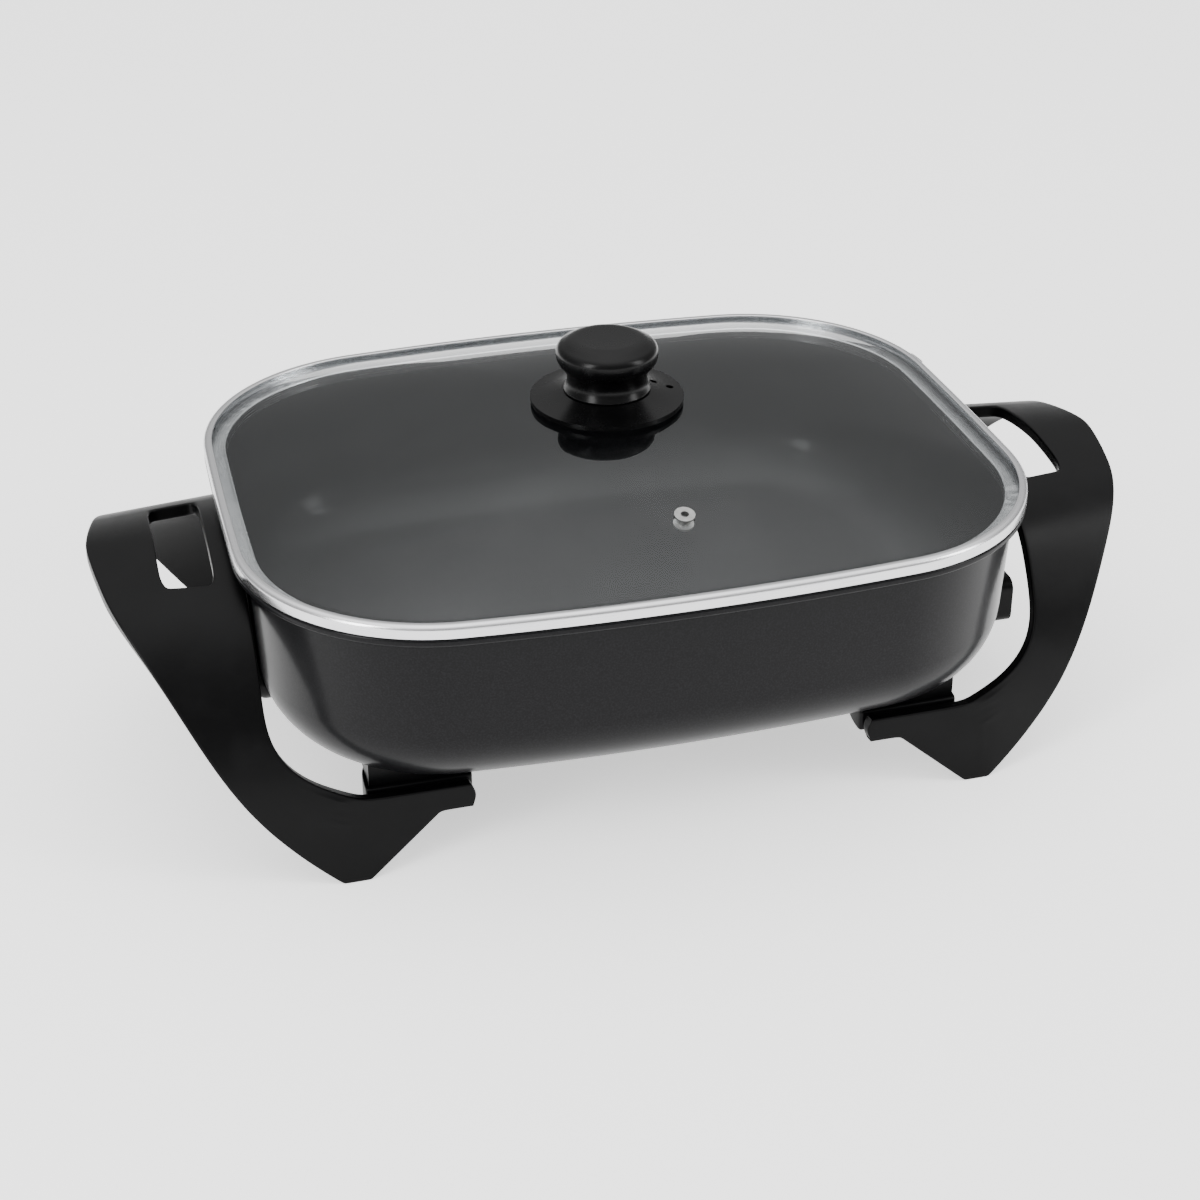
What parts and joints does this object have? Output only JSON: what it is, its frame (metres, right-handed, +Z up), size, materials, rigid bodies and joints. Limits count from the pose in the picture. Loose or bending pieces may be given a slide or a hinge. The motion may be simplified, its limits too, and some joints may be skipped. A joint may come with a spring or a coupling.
{
  "type": "electric skillet",
  "caption": "Rectangular electric skillet: deep coated pan on two black handle-and-leg mouldings, with a lift-off domed glass lid, knob and plug-in control inlet.",
  "frame": {"origin": "on the standing surface, under the middle of the pan", "axes": "+X along the pan's length towards the inlet end, -Y the front long side, +Z up"},
  "size_m": [0.5286, 0.318, 0.2083],
  "materials": {
    "pan": "satin charcoal non-stick coating over cast aluminium",
    "element": "dull steel sheath",
    "insulator": "matt ceramic",
    "pin": "plated",
    "tube": "drawn steel",
    "phenolic": "black moulded phenolic, satin",
    "screw": "zinc plated",
    "glass": "clear tempered glass",
    "band": "polished rolled stainless band",
    "knob": "black phenolic, satin",
    "insert": "turned brass",
    "gasket": "translucent grey silicone"
  },
  "bodies": {
    "base": {"pan": "pan", "heating_element": "element", "terminal_insulators": "insulator", "terminal_pins": "pin", "sensor_tube": "tube", "terminal_guard": "phenolic", "guard_screws": "screw", "handle_right": "phenolic", "handle_left": "phenolic", "leg_screws": "screw", "leg_washers": "screw", "end_screws_right": "screw", "end_screws_left": "screw", "leg_spacer_front_left": "phenolic", "leg_spacer_front_right": "phenolic", "leg_spacer_rear_left": "phenolic", "leg_spacer_rear_right": "phenolic"},
    "lid": {"lid_glass": "glass", "lid_band": "band", "band_seam": "band", "steam_eyelet": "band", "knob_skirt": "knob", "knob": "knob", "knob_insert": "insert", "knob_gasket": "gasket", "knob_washer": "screw", "knob_screw": "screw"}
  },
  "joints": [
    {"name": "lid_lift", "type": "slide", "parent": "base", "child": "lid", "axis": [0, 0, 1], "range_m": [0, 0.15]}
  ]
}
